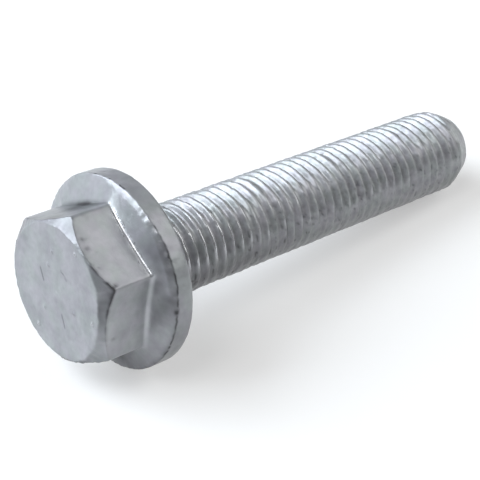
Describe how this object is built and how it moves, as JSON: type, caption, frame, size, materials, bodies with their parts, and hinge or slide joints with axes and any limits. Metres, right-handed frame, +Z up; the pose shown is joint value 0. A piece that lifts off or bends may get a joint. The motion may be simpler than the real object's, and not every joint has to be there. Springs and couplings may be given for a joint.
{
  "type": "hexagon flange screw",
  "caption": "Hot-dip galvanised hexagon head screw with an integral flange and a right-hand metric thread running up to the head, lying at rest.",
  "frame": {"origin": "centre of the bearing face under the flange, on the screw's axis", "axes": "+Z up as the screw lies at rest on the edge of its flange and on its last full thread; the shank runs towards +X and its tip dips 6.7 degrees below the horizontal"},
  "size_m": [0.0959, 0.034, 0.0341],
  "materials": {
    "galvanised_steel": "hot-dip galvanised zinc, light grey and mottled, satin, with small lumps and runs along the edges"
  },
  "bodies": {
    "root": {"hex_flange_screw": "galvanised_steel"}
  },
  "joints": []
}
